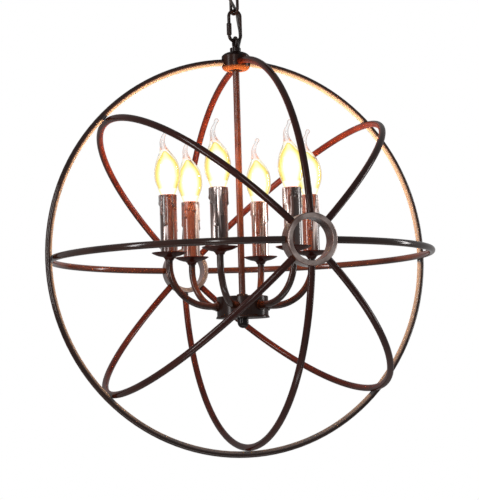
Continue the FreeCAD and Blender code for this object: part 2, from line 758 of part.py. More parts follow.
def make_bracket_nipple():
    """A threaded tube from the bracket down through the canopy, with a nut under the bracket."""
    low = -nipple_h
    rod = tube(tube_r, stem_bore_r, nipple_h - nipple_top_gap, Vector(0, 0, low))
    head = hexagon(nipple_nut_flats, nipple_nut_h, Vector(0, 0, -bracket_t - nipple_nut_h))
    head = head.cut(cylinder(tube_r, nipple_nut_h, Vector(0, 0, -bracket_t - nipple_nut_h)))
    return rod.fuse(head)


def make_canopy_loop():
    """A collar that holds the canopy up, and the ring that carries the chain."""
    base = Vector(0, 0, -canopy_h - canopy_collar_h)
    ring = loop_ring(canopy_loop_d, Vector(0, 0, level(canopy_loop_up)))
    body = collar(canopy_collar_h, base).fuse(ring)
    depth = nipple_h - canopy_h + thread_gap
    return body.cut(cylinder(tube_r + thread_gap, depth, Vector(0, 0, -canopy_h - depth)))


def make_cord_grommet():
    """A bush in the canopy's floor, which the cord passes through."""
    base = Vector(cord_x, 0, -canopy_h - grommet_lip)
    neck = cylinder(grommet_d / 2 - thread_gap, grommet_h, base)
    lip = cylinder(grommet_d / 2 + grommet_lip, grommet_lip, base)
    return neck.fuse(lip).cut(cylinder(cord_d / 2 + cord_clear / 2, grommet_h, base))


def make_terminal_block():
    """Each way has a wire hole and two screw holes. It sits under the bracket's lips."""
    wide, deep, high = block_size
    top = block_bottom + high
    block = Part.makeBox(deep, wide, high, Vector(cord_x - deep / 2, -wide / 2, top - high))
    hole_r = block_hole_d / 2
    for n in range(block_ways):
        y = (n - (block_ways - 1) / 2) * wide / block_ways
        block = block.cut(cylinder(hole_r, deep, Vector(cord_x - deep / 2, y, top - high / 2), X))
        for side in (-1, 1):
            screw = Vector(cord_x + side * block_screw_shift, y, top - high)
            block = block.cut(cylinder(hole_r, high / 2, screw))
    return block


# ---------------------------------------------------------------- supply cord
def rounded_route(points):
    """Straight runs joined by tangent arcs, each as large as its two runs allow."""
    edges = []
    start = points[0]
    radii = []
    for before, corner, after in zip(points, points[1:], points[2:]):
        into = corner - before
        out = after - corner
        half_turn = into.getAngle(out) / 2
        cut = 0.45 * min(into.Length, out.Length)
        radii.append(cut / math.tan(half_turn))
        into.normalize()
        out.normalize()
        arc_start = corner - into * cut
        arc_end = corner + out * cut
        inward = out - into
        inward.normalize()
        sag = radii[-1] * (1 / math.cos(half_turn) - 1)
        edges.append(Part.LineSegment(start, arc_start).toShape())
        edges.append(Part.Arc(arc_start, corner + inward * sag, arc_end).toShape())
        start = arc_end
    edges.append(Part.LineSegment(start, points[-1]).toShape())
    print("cord radii:", [round(r, 1) for r in radii])
    return edges


def make_supply_cord():
    route = rounded_route(cord_points)
    cord = swept(route, cord_d / 2)
    length = sum(e.Length for e in route)
    section = math.pi * (cord_d / 2) ** 2
    print("cord length", round(length, 1), "volume ratio", round(cord.Volume / (length * section), 5))
    return cord


# ---------------------------------------------------------------- all pieces
def pieces():
    """Each node's name with its shape."""
    made = {
        "ceiling_bracket": make_ceiling_bracket(),
        "bracket_nipple": make_bracket_nipple(),
        "terminal_block": make_terminal_block(),
        "canopy": make_canopy(),
        "canopy_loop": make_canopy_loop(),
        "cord_grommet": make_cord_grommet(),
        "supply_cord": make_supply_cord(),
        "quick_link": make_quick_link(),
        "quick_link_sleeve": make_quick_link_sleeve(),
        "fixture_loop": make_fixture_loop(),
        "crown_boss": make_crown_boss(),
        "stem_nuts": make_stem_nuts(),
        "stem_tube": make_stem_tube(),
        "stem_lead": make_stem_lead(),
        "hub_body": make_hub_body(),
        "hub_cover": make_hub_cover(),
        "finial": make_finial(),
        "wire_connectors": make_wire_connectors(),
        "outer_ring": make_outer_ring(),
        "vertical_hoop": make_vertical_hoop(),
        "front_end_ring": make_end_ring(-1),
        "back_end_ring": make_end_ring(1),
    }
    for name, tilt in hoop_tilts.items():
        made[name] = make_hoop(tilt)
    for n in range(1, link_count + 1):
        made[f"chain_link_{n}"] = make_chain_link(n)
    arm = make_arm()
    arm_nut = make_arm_nut()
    lead = make_lamp_lead()
    pan = make_drip_pan()
    holder = make_lampholder()
    bulb = make_bulb()
    arms = range(arm_count)
    for k in arms:
        made[f"arm_{k + 1}"] = turned(arm, arm_bearing(k))
        made[f"drip_pan_{k + 1}"] = at_candle(pan, k)
        made[f"candle_sleeve_{k + 1}"] = at_candle(make_candle_sleeve(k), k)
        made[f"lampholder_{k + 1}"] = at_candle(holder, k)
        made[f"bulb_{k + 1}"] = bulb_at_candle(bulb, k)
    made["arm_nuts"] = Part.Compound([turned(arm_nut, arm_bearing(k)) for k in arms])
    made["lamp_leads"] = Part.Compound([turned(lead, arm_bearing(k)) for k in arms])
    return made


def main():
    os.makedirs("parts", exist_ok=True)
    for name, shape in pieces().items():
        solids = shape.Solids
        if not solids or not shape.isValid():
            print("not a valid solid:", name)
        shape.exportStep(f"parts/{name}.step")


if __name__ == "__main__":
    main()
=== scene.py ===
"""The looks of the orb chandelier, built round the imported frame. Metres, in the frame's own axes."""

import json
import math
import random

import bpy
from mathutils import Matrix, Vector

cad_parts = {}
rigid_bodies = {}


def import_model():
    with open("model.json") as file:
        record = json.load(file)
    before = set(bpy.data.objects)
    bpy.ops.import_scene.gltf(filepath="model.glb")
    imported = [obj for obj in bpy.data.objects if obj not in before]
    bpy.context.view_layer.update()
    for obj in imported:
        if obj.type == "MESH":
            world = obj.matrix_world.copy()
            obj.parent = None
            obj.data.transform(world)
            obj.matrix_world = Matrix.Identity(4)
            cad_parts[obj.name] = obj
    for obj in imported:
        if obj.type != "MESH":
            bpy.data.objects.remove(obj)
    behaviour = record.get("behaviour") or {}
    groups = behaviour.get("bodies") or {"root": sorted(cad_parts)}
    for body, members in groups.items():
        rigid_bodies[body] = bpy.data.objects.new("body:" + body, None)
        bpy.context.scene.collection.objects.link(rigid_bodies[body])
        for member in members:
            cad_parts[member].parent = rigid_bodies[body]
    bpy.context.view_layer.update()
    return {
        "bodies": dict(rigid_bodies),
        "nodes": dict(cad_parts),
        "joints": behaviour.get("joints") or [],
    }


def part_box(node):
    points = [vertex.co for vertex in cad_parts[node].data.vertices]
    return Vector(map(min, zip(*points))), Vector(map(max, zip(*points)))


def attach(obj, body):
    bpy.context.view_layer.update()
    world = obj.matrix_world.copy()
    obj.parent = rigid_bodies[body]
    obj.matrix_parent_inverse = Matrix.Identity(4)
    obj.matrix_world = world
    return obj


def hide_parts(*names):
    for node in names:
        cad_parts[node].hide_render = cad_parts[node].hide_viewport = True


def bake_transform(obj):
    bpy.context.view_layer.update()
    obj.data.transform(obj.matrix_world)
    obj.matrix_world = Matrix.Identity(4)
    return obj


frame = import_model()

MM = 0.001
CANDLES = range(1, 7)
CENTRE = (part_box("outer_ring")[0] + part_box("outer_ring")[1]) / 2    # of the ball
WHITE = (1.0, 1.0, 1.0)


def direction(bearing, height):
    """The way out from the ball's centre. bearing is from the front towards +X, and height an angle."""
    level = math.cos(height)
    return Vector((math.sin(bearing) * level, -math.cos(bearing) * level, math.sin(height)))


def new_object(name, data):
    piece = bpy.data.objects.new(name, data)
    bpy.context.scene.collection.objects.link(piece)
    return piece


# ---------------------------------------------------------------- camera
CAMERA_BEARING = math.radians(-19.2153)
CAMERA_HEIGHT = math.radians(-4.4155)
CAMERA_DISTANCE = 2.6345
CAMERA_LENS_MM = 126.4
CAMERA_SENSOR_MM = 36.0
CAMERA_SIGHT = 50.0                        # the farthest that it sees
CAMERA_YAW = math.radians(-0.0502)         # small turns of the camera after it looks at the centre
CAMERA_PITCH = math.radians(-0.2332)
CAMERA_ROLL = math.radians(1.6261)


def build_camera():
    """The photograph's camera: it looks up a little at the ball from its front left."""
    away = direction(CAMERA_BEARING, CAMERA_HEIGHT)
    right = (-away).cross(Vector((0, 0, 1))).normalized()
    up = right.cross(-away)
    looking = Matrix((right, up, away))
    turns = (
        Matrix.Rotation(CAMERA_ROLL, 3, "Z")
        @ Matrix.Rotation(CAMERA_PITCH, 3, "X")
        @ Matrix.Rotation(CAMERA_YAW, 3, "Y"))
    camera = new_object("camera", bpy.data.cameras.new("camera"))
    camera.data.lens = CAMERA_LENS_MM
    camera.data.sensor_width = CAMERA_SENSOR_MM
    camera.data.clip_end = CAMERA_SIGHT
    rotation = (turns @ looking).transposed().to_4x4()
    camera.matrix_world = Matrix.Translation(CENTRE + away * CAMERA_DISTANCE) @ rotation
    bpy.context.scene.camera = camera


# ---------------------------------------------------------------- shader nodes
def new_material(name, **sockets):
    """A material with a principled shader. A keyword sets the socket of that name, with _ for a space."""
    material = bpy.data.materials.new(name)
    material.use_nodes = True
    shader = material.node_tree.nodes["Principled BSDF"]
    for socket, value in sockets.items():
        shader.inputs[socket.replace("_", " ")].default_value = value
    return material, material.node_tree, shader


def coords(tree):
    return tree.nodes.new("ShaderNodeTexCoord").outputs["Object"]


def normals(tree):
    return tree.nodes.new("ShaderNodeTexCoord").outputs["Normal"]


def edge_on(tree):
    """0 where the surface faces whoever looks at it, and 1 where it is seen edge on."""
    node = tree.nodes.new("ShaderNodeLayerWeight")
    node.inputs["Blend"].default_value = 0.5
    return node.outputs["Facing"]


def noise(tree, place, scale, detail=4.0, roughness=0.55, stretch=None):
    """A noise texture's factor. scale is per metre, and stretch scales the coordinates first."""
    if stretch:
        mapping = tree.nodes.new("ShaderNodeMapping")
        mapping.inputs["Scale"].default_value = stretch
        tree.links.new(place, mapping.inputs["Vector"])
        place = mapping.outputs["Vector"]
    node = tree.nodes.new("ShaderNodeTexNoise")
    node.inputs["Scale"].default_value = scale
    node.inputs["Detail"].default_value = detail
    node.inputs["Roughness"].default_value = roughness
    tree.links.new(place, node.inputs["Vector"])
    return node.outputs["Fac"]


def ramp(tree, factor, *stops):
    """A colour ramp. A stop is (position, colour), or (position, number) for a grey."""
    node = tree.nodes.new("ShaderNodeValToRGB")
    elements = node.color_ramp.elements
    while len(elements) < len(stops):
        elements.new(0.5)
    for element, (position, colour) in zip(elements, stops):
        element.position = position
        element.color = (colour, colour, colour, 1.0) if isinstance(colour, float) else (*colour, 1.0)
    tree.links.new(factor, node.inputs["Fac"])
    return node.outputs["Color"]


def spread(tree, factor, low, high, start=0.3, end=0.7):
    """Maps a factor's range start..end to low..high."""
    node = tree.nodes.new("ShaderNodeMapRange")
    node.inputs["From Min"].default_value = start
    node.inputs["From Max"].default_value = end
    node.inputs["To Min"].default_value = low
    node.inputs["To Max"].default_value = high
    tree.links.new(factor, node.inputs["Value"])
    return node.outputs["Result"]


def maths(tree, operation, *values, kind="ShaderNodeMath"):
    """A maths node. Each value is a socket or a fixed vector."""
    node = tree.nodes.new(kind)
    node.operation = operation
    for value, entry in zip(values, node.inputs):
        if isinstance(value, Vector):
            entry.default_value = value
        else:
            tree.links.new(value, entry)
    return node


def mixed(tree, factor, plain, other):
    """The colour plain where factor is 0, and other where it is 1. Each is a colour or a socket."""
    node = tree.nodes.new("ShaderNodeMix")
    node.data_type = "RGBA"
    tree.links.new(factor, node.inputs["Factor"])
    for entry, colour in (("A", plain), ("B", other)):
        if isinstance(colour, tuple):
            node.inputs[entry].default_value = (*colour, 1.0)
        else:
            tree.links.new(colour, node.inputs[entry])
    return node.outputs["Result"]


def mixed_shaders(tree, factor, plain, other):
    """The shader plain where factor is 0, and other where it is 1."""
    node = tree.nodes.new("ShaderNodeMixShader")
    tree.links.new(factor, node.inputs["Fac"])
    tree.links.new(plain, node.inputs[1])
    tree.links.new(other, node.inputs[2])
    return node.outputs[0]


def bump(tree, shader, height, depth, strength):
    node = tree.nodes.new("ShaderNodeBump")
    node.inputs["Strength"].default_value = strength
    node.inputs["Distance"].default_value = depth
    tree.links.new(height, node.inputs["Height"])
    tree.links.new(node.outputs["Normal"], shader.inputs["Normal"])


# ---------------------------------------------------------------- materials
CLOUD_SCALE = 22.0           # of the bronze: noise scales are per metre
PEEL_SCALE = 140.0
BRUSH_SCALE = 40.0
WAX_CLOUD_SCALE = 70.0
# painted highlights: these two set the pale metal streaks down the candle sleeves
PAINTED_HIGHLIGHT_SCALE = 118.0
PAINTED_HIGHLIGHT_STRETCH = (1.0, 1.0, 0.07)    # long streaks down the sleeve
RIPPLE_SCALE = 60.0          # of the blown glass
DRAWN_SCALE = 150.0          # of the drawn glass
GLOW_STRENGTH = 1.15


def facing_centre(tree, place):
    """1 where the surface faces the ball's centre, 0 side on, and below 0 where it faces away."""
    kind = "ShaderNodeVectorMath"
    inward = maths(tree, "SUBTRACT", CENTRE, place, kind=kind).outputs[0]
    unit = maths(tree, "NORMALIZE", inward, kind=kind).outputs[0]
    return maths(tree, "DOT_PRODUCT", unit, normals(tree), kind=kind).outputs["Value"]


def bronze_material(name, low, high, shine, gloss, inside=None):
    """Dark bronze paint: near black, cloudy, and with a soft orange peel.

    low and high are the clouds' colours. shine is the weight of the lacquer over them, and gloss is its
    roughness. inside is painted light: the side that faces the ball's centre is painted this colour, as if
    lit by the bulbs there.
    """
    material, tree, shader = new_material(
        name, Specular_IOR_Level=0.0, Coat_Weight=shine, Coat_Roughness=gloss, Coat_IOR=1.5)
    place = coords(tree)
    clouds = noise(tree, place, CLOUD_SCALE, detail=5.0)
    colour = ramp(tree, clouds, (0.32, low), (0.68, high))
    if inside:
        # painted light: the side facing the bulbs at the ball's centre takes the lit colour inside
        painted_bulb_light = spread(tree, facing_centre(tree, place), 0.0, 1.0, start=0.0, end=0.4)
        colour = mixed(tree, painted_bulb_light, colour, inside)
    tree.links.new(colour, shader.inputs["Base Color"])
    tree.links.new(spread(tree, clouds, 0.4, 0.6), shader.inputs["Roughness"])
    bump(tree, shader, noise(tree, place, PEEL_SCALE, detail=2.0), 0.0002, 0.04)
    return material


def brushed_material():
    """The end rings: brush-marked grey metal on their flat faces, painted pale as a sheen of reflected
    light, and dark bronze on their walls.
    """
    material, tree, shader = new_material("brushed_bronze_painted_sheen", Specular_IOR_Level=0.12)
    marks = noise(tree, coords(tree), BRUSH_SCALE, stretch=(1.0, 6.0, 1.0))
    grey = ramp(tree, marks, (0.25, (0.060, 0.040, 0.036)), (0.5, (0.17, 0.135, 0.125)),
                (0.8, (0.36, 0.31, 0.29)))
    split = tree.nodes.new("ShaderNodeSeparateXYZ")
    tree.links.new(normals(tree), split.inputs[0])
    flatness = maths(tree, "ABSOLUTE", split.outputs["Y"]).outputs[0]    # 1 on the faces, 0 on the walls
    # painted sheen: the flat faces are painted pale grey metal for the light that they reflect
    painted_sheen_mask = spread(tree, flatness, 0.0, 1.0, start=0.45, end=0.95)
    tree.links.new(mixed(tree, painted_sheen_mask, (0.026, 0.0075, 0.0034), grey), shader.inputs["Base Color"])
    tree.links.new(spread(tree, flatness, 0.0, 0.9, start=0.35, end=0.75), shader.inputs["Metallic"])
    tree.links.new(spread(tree, marks, 0.22, 0.34), shader.inputs["Roughness"])
    bump(tree, shader, marks, 0.0002, 0.12)
    return material


def sleeve_material():
    """Chocolate lacquer over moulded wax, with pale metal streaks down it that are painted highlights.

    The streaks turn to metal before they turn pale, so that no pale plastic shows along their edges.
    """
    material, tree, shader = new_material(
        "candle_brown", Specular_IOR_Level=0.2, Coat_Weight=0.5, Coat_Roughness=0.08, Coat_IOR=1.45)
    place = coords(tree)
    clouds = noise(tree, place, WAX_CLOUD_SCALE, stretch=(1.0, 1.0, 0.35))
    brown = ramp(tree, clouds, (0.3, (0.010, 0.0026, 0.0012)), (0.7, (0.026, 0.0076, 0.0032)))
    # painted highlights: pale metal streaks that stand for the broad highlights on the sleeves
    painted_highlights = noise(tree, place, PAINTED_HIGHLIGHT_SCALE, detail=3.0, roughness=0.5, stretch=PAINTED_HIGHLIGHT_STRETCH)
    pale = spread(tree, painted_highlights, 0.0, 1.0, start=0.54, end=0.65)
    tree.links.new(mixed(tree, pale, brown, (0.56, 0.48, 0.46)), shader.inputs["Base Color"])
    tree.links.new(spread(tree, painted_highlights, 0.0, 0.97, start=0.50, end=0.56), shader.inputs["Metallic"])
    tree.links.new(spread(tree, clouds, 0.2, 0.32), shader.inputs["Roughness"])
    return material


def glass_material():
    """Clear glass that is yellow, then brown, where it is seen edge on."""
    material, tree, shader = new_material("bulb_glass", Roughness=0.02, IOR=1.42, Transmission_Weight=1.0)
    colour = ramp(tree, edge_on(tree), (0.0, WHITE), (0.40, (1.0, 1.0, 0.94)), (0.62, (0.98, 0.90, 0.62)),
                  (0.80, (0.82, 0.58, 0.28)), (1.0, (0.22, 0.09, 0.03)))
    tree.links.new(colour, shader.inputs["Base Color"])
    bump(tree, shader, noise(tree, coords(tree), RIPPLE_SCALE, detail=2.0), 0.0003, 0.1)
    return material


def tail_material():
    """The drawn glass of a bulb's tail: clear in its middle, with thick brown edges."""
    material, tree, shader = new_material("tail_glass", Roughness=0.08, IOR=1.42)
    clouds = noise(tree, coords(tree), DRAWN_SCALE, detail=2.0)
    brown = ramp(tree, clouds, (0.3, (0.022, 0.011, 0.006)), (0.7, (0.045, 0.024, 0.012)))
    tree.links.new(brown, shader.inputs["Base Color"])
    thick = ramp(tree, edge_on(tree), (0.0, 0.03), (0.30, 0.12), (0.60, 0.55), (0.85, 0.9))
    tree.links.new(thick, shader.inputs["Alpha"])
    return material


def light_material():
    """The glow inside a bulb: white through its middle, yellow and thin towards its edge."""
    material = bpy.data.materials.new("lamp_light")
    material.use_nodes = True
    tree = material.node_tree
    tree.nodes.clear()
    edge = edge_on(tree)
    glow = tree.nodes.new("ShaderNodeEmission")
    glow.inputs["Strength"].default_value = GLOW_STRENGTH
    colour = ramp(tree, edge, (0.0, WHITE), (0.17, (1.0, 1.0, 0.92)), (0.30, (1.0, 0.96, 0.50)),
                  (0.43, (0.95, 0.82, 0.20)), (0.60, (0.88, 0.68, 0.08)), (0.85, (0.72, 0.50, 0.06)))
    tree.links.new(colour, glow.inputs["Color"])
    clear = tree.nodes.new("ShaderNodeBsdfTransparent")
    thin = ramp(tree, edge, (0.45, 0.0), (0.8, 0.35), (1.0, 0.9))
    surface = mixed_shaders(tree, thin, glow.outputs[0], clear.outputs[0])
    tree.links.new(surface, tree.nodes.new("ShaderNodeOutputMaterial").inputs["Surface"])
    return material


def plain_material(name, low, high, roughness, metallic=0.0, scale=120.0):
    """A two-tone cloudy finish for plastic, rubber and plated metal."""
    material, tree, shader = new_material(name, Metallic=metallic)
    clouds = noise(tree, coords(tree), scale, detail=5.0)
    tree.links.new(ramp(tree, clouds, (0.3, low), (0.7, high)), shader.inputs["Base Color"])
    tree.links.new(spread(tree, clouds, roughness * 0.85, roughness * 1.2), shader.inputs["Roughness"])
    bump(tree, shader, clouds, 0.0001, 0.4)
    return material


MATERIALS = {
    "bronze": bronze_material("dark_bronze", (0.008, 0.0021, 0.0010), (0.018, 0.0052, 0.0026), 0.36, 0.13),
    # the ring's inside colour is painted light from the bulbs at the ball's centre
    "ring": bronze_material("ring_bronze_painted_lit_inside", (0.006, 0.0016, 0.0008), (0.014, 0.0040, 0.0020), 0.34, 0.12,
                            inside=(0.080, 0.070, 0.070)),
    # painted light: the hoops take a redder copy of the bronze that stands for the bulbs' warm light on them
    "hoop": bronze_material("bronze_painted_warm_light", (0.011, 0.0014, 0.0006), (0.020, 0.0037, 0.0017), 0.22, 0.16),
    # the crown's inside colour is painted light: its underside painted orange as if lit by the bulbs below
    "crown": bronze_material("crown_bronze", (0.004, 0.0016, 0.0012), (0.008, 0.0032, 0.0024), 0.14, 0.26,
                             inside=(0.050, 0.017, 0.006)),
    "iron": bronze_material("black_bronze", (0.003, 0.0014, 0.0011), (0.008, 0.0036, 0.0028), 0.20, 0.22),
    "maroon": bronze_material("maroon_bronze", (0.012, 0.0018, 0.0011), (0.024, 0.0045, 0.0024), 0.15, 0.24),
    "brushed": brushed_material(),
    "sleeve": sleeve_material(),
    "glass": glass_material(),
    "tail": tail_material(),
    "light": light_material(),
    "zinc": plain_material("zinc", (0.42, 0.42, 0.40), (0.62, 0.62, 0.58), 0.34, metallic=1.0),
    "holder": plain_material("holder_plastic", (0.018, 0.016, 0.015), (0.03, 0.027, 0.025), 0.45),
    "cord": plain_material("cord_black", (0.004, 0.0035, 0.0035), (0.010, 0.009, 0.008), 0.42, scale=400.0),
    "cap": plain_material("bulb_cap", (0.6, 0.52, 0.36), (0.75, 0.68, 0.5), 0.3, metallic=1.0),
}
NODE_LOOKS = {
    "ring": ["outer_ring"],
    "hoop": ["vertical_hoop", "rising_hoop", "falling_hoop"],
    "iron": ["chain_link_1", "chain_link_2", "chain_link_3", "quick_link", "quick_link_sleeve",
             "fixture_loop", "stem_nuts", "finial", "canopy_loop", "hub_body", "hub_cover"],
    "crown": ["crown_boss"],
    "maroon": [f"drip_pan_{k}" for k in CANDLES],
    "brushed": ["front_end_ring", "back_end_ring"],
    "zinc": ["ceiling_bracket", "bracket_nipple", "arm_nuts"],
    "holder": ["terminal_block", "cord_grommet", "wire_connectors"] + [f"lampholder_{k}" for k in CANDLES],
    "cord": ["stem_lead", "lamp_leads"],
}


def paint(piece, look):
    piece.data.materials.clear()
    piece.data.materials.append(MATERIALS[look])
    for polygon in piece.data.polygons:
        polygon.material_index = 0


def paint_nodes():
    """Every node gets the arms' bronze, except the ones that NODE_LOOKS names."""
    looks = {node: look for look, nodes in NODE_LOOKS.items() for node in nodes}
    for name, node in frame["nodes"].items():
        paint(node, looks.get(name, "bronze"))


# ---------------------------------------------------------------- mesh helpers
def mesh_object(name, vertices, faces, look):
    mesh = bpy.data.meshes.new(name)
    mesh.from_pydata([tuple(v) for v in vertices], [], faces)
    mesh.validate()
    piece = new_object(name, mesh)
    paint(piece, look)
    for polygon in mesh.polygons:
        polygon.use_smooth = True
    return piece


def angles(count):
    """count angles, evenly spaced all round."""
    return [2 * math.pi * column / count for column in range(count)]


def round_point(centre, angle, radius, height, shift=0.0):
    """A point on a level circle whose middle is this high over centre, and shifted towards +X."""
    return centre + Vector((shift + radius * math.cos(angle), radius * math.sin(angle), height))


def lathe(outline, around, centre):
    """Points of a tube, in rows that are each (height, radius, shift towards +X)."""
    return [round_point(centre, angle, radius, height, shift)
            for height, radius, shift in outline for angle in angles(around)]


def ring_faces(rows, columns, start=0):
    """Quads between the rows of a tube whose rows each hold columns points."""
    faces = []
    for row in range(rows - 1):
        for column in range(columns):
            after = (column + 1) % columns
            low = start + row * columns
            high = low + columns
            faces.append((low + column, low + after, high + after, high + column))
    return faces


def disc(start, count):
    """The face that closes a row of points."""
    return tuple(range(start, start + count))


def flipped(faces):
    return [tuple(reversed(face)) for face in faces]


def between(p, q, r, s, t):
    """The value a share t of the way from q to r, on the smooth curve through p, q, r and s."""
    square = 2 * p - 5 * q + 4 * r - s
    cube = 3 * q - p - 3 * r + s
    return 0.5 * (2 * q + (r - p) * t + square * t * t + cube * t ** 3)


def through(points, steps):
    """A smooth curve through tuples of numbers, as a list with steps tuples for each gap."""
    padded = [points[0]] + list(points) + [points[-1]]
    line = []
    for four in zip(padded, padded[1:], padded[2:], padded[3:]):
        for step in range(steps):
            line.append(tuple(between(*values, step / steps) for values in zip(*four)))
    line.append(tuple(points[-1]))
    return line


def candle_centre(k):
    """On the axis of candle k, at its sleeve's top."""
    low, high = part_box(f"lampholder_{k}")
    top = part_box(f"candle_sleeve_{k}")[1].z
    return Vector(((low.x + high.x) / 2, (low.y + high.y) / 2, top))


# ---------------------------------------------------------------- candle sleeves
SLEEVE_R = 12.75 * MM
SLEEVE_BORE_R = 11.25 * MM
SLEEVE_EDGE_R = 1.2 * MM       # of its rounded top edge
SLEEVE_AROUND = 144
SLEEVE_ROWS = 150
BORE_DEPTHS = (0.0, 2.0 * MM, 8.0 * MM)    # rows of the bore, and one more is at the foot
LIP_PROUD = 0.9 * MM           # wax that is thicker all round at the top
LIP_HEIGHT = 5.0 * MM
WAX_SEED = 40
WAX_LIMIT = 2.15 * MM          # just under what the solid's runs stand out
RUN_COUNT = 9
RUN_PROUD = 2.0 * MM
RUN_LENGTHS = (0.62, 0.22, 0.38, 0.14, 0.48, 0.27, 0.56, 0.18, 0.33)    # shares of the sleeve's length
RUN_LENGTH_CHANGES = (0.85, 1.1)
RUN_HALF_WIDTHS = (1.7, 2.7)   # in millimetres
RUN_STRENGTHS = (0.65, 1.0)
RUN_SHIFT = 0.3                # at most, as a share of the gap from run to run
WANDER = 0.4 * MM              # how far a run winds from side to side, and how fast down the sleeve
WANDER_PITCH = 9 * MM
RUN_NARROW = 0.72              # a run's width all along, as a share of its half width
DROP_WIDER = 0.55              # the share added at its drop
TOP_WIDER = 0.5                # the share added at the sleeve's top, which fades out below
TOP_FADE = 5 * MM
DROP_UP = 2.2 * MM             # from a run's end to the middle of its drop
DROP_SIZE = 2.6 * MM
DROP_PROUDER = 0.30
TIP = 1.2 * MM                 # past the run's end
TIP_ROUNDING = 3.0 * MM
LUMPS = 0.08
LUMP_PITCH = 6.5 * MM
EDGE_THINNER = 0.7             # share of the wax that the top edge's rounding takes away


def smooth_step(x):
    x = min(max(x, 0.0), 1.0)
    return x * x * (3 - 2 * x)


def wax_runs(k):
    """Bearing, half width, length, strength and phase of each run of wax on candle k."""
    picker = random.Random(WAX_SEED + k)
    runs = []
    for n in range(RUN_COUNT):
        runs.append((
            2 * math.pi * (n + picker.uniform(-RUN_SHIFT, RUN_SHIFT)) / RUN_COUNT,
            picker.uniform(*RUN_HALF_WIDTHS) * MM,
            RUN_LENGTHS[(n * 4 + k * 3) % RUN_COUNT] * picker.uniform(*RUN_LENGTH_CHANGES),
            picker.uniform(*RUN_STRENGTHS),
            picker.uniform(0, 2 * math.pi)))
    return runs


def wax_height(runs, angle, down, length):
    """How far the wax stands out at this bearing, this far below the sleeve's top."""
    height = LIP_PROUD * (1 - smooth_step(down / LIP_HEIGHT))
    for bearing, half_width, share, strength, phase in runs:
        end = share * length
        wander = WANDER * math.sin(down / WANDER_PITCH + phase)
        side = abs(math.remainder(angle - bearing, 2 * math.pi) * SLEEVE_R + wander)
        drop = math.exp(-((down - end + DROP_UP) / DROP_SIZE) ** 2)
        width = half_width * (RUN_NARROW + DROP_WIDER * drop + TOP_WIDER * math.exp(-down / TOP_FADE))
        if side > width or down > end + TIP:
            continue
        across = math.sqrt(max(0.0, 1 - (side / width) ** 2))
        tip = math.sqrt(max(0.0, min(1.0, (end + TIP - down) / TIP_ROUNDING)))
        lumps = 1 - LUMPS + LUMPS * math.sin(down / LUMP_PITCH + 2 * phase)
        height = max(height, RUN_PROUD * strength * across * tip * (lumps + DROP_PROUDER * drop))
    return min(height, WAX_LIMIT)


def build_sleeve(k):
    """A tube whose outside carries the runs, with a rounded top edge and the bore inside."""
    low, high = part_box(f"candle_sleeve_{k}")
    centre = candle_centre(k)
    length = high.z - low.z
    runs = wax_runs(k)
    vertices = []
    for row in range(SLEEVE_ROWS + 1):
        down = length - length * (row / SLEEVE_ROWS)
        sag = 0.0
        if down < SLEEVE_EDGE_R:
            sag = SLEEVE_EDGE_R - math.sqrt(max(0.0, SLEEVE_EDGE_R ** 2 - (SLEEVE_EDGE_R - down) ** 2))
        thinner = 1 - EDGE_THINNER * sag / SLEEVE_EDGE_R
        for angle in angles(SLEEVE_AROUND):
            radius = SLEEVE_R - sag + wax_height(runs, angle, down, length) * thinner
            vertices.append(round_point(centre, angle, radius, -down))
    bore = [(-down, SLEEVE_BORE_R, 0.0) for down in (*BORE_DEPTHS, length)]
    vertices += lathe(bore, SLEEVE_AROUND, centre)
    rows = SLEEVE_ROWS + 1 + len(bore)
    faces = ring_faces(rows, SLEEVE_AROUND)
    last = (rows - 1) * SLEEVE_AROUND
    for column in range(SLEEVE_AROUND):
        after = (column + 1) % SLEEVE_AROUND
        faces.append((last + column, last + after, after, column))
    piece = mesh_object(f"wax_sleeve_{k}", vertices, faces, "sleeve")
    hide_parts(f"candle_sleeve_{k}")
    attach(piece, "fixture")


# ---------------------------------------------------------------- bulbs
# Height over the sleeve's top, radius, and shift towards +X, in millimetres.
BULB_OUTLINE = (
    (-8.0, 9.0, 0.0), (0.0, 10.6, 0.0), (12.0, 15.4, 0.0), (20.0, 18.2, 0.0), (28.0, 19.4, 0.0),
    (38.0, 19.0, 0.0), (50.0, 16.2, -0.4), (61.0, 10.2, -2.0), (71.0, 5.2, -5.0), (79.0, 3.8, -6.6),
    (87.0, 3.0, -5.0), (93.0, 2.5, -1.8), (95.3, 3.2, -0.6), (97.6, 3.3, 0.0), (100.0, 1.6, 0.0),
    (100.4, 0.05, 0.0))
OUTLINE_STEPS = 5
GLASS_WALL = 0.8               # these sizes too are in millimetres
GLASS_AROUND = 48
HOLLOW_SHOULDER = 52.0         # above it the hollow draws in to a point
HOLLOW_TOP = 84.0
HOLLOW_LEAST_R = 0.1
TAIL_FROM = 67.0               # from here up the glass is thick, and brown at its edges
GLOW_SHARE = 0.93              # of the glass's radius
GLOW_LOW = -4.0
GLOW_HIGH = 66.0
GLOW_LEAST_R = 0.2
GLOW_ROUNDING = 6              # a higher power keeps the glow wide for longer below its top
GLOW_AROUND = 40


def build_bulb(k):
    centre = candle_centre(k)
    outline = through(BULB_OUTLINE, OUTLINE_STEPS)
    build_glass(k, centre, outline)
    build_glow(k, centre, outline)
    build_cap(k, centre)
    build_lamp(k, centre)


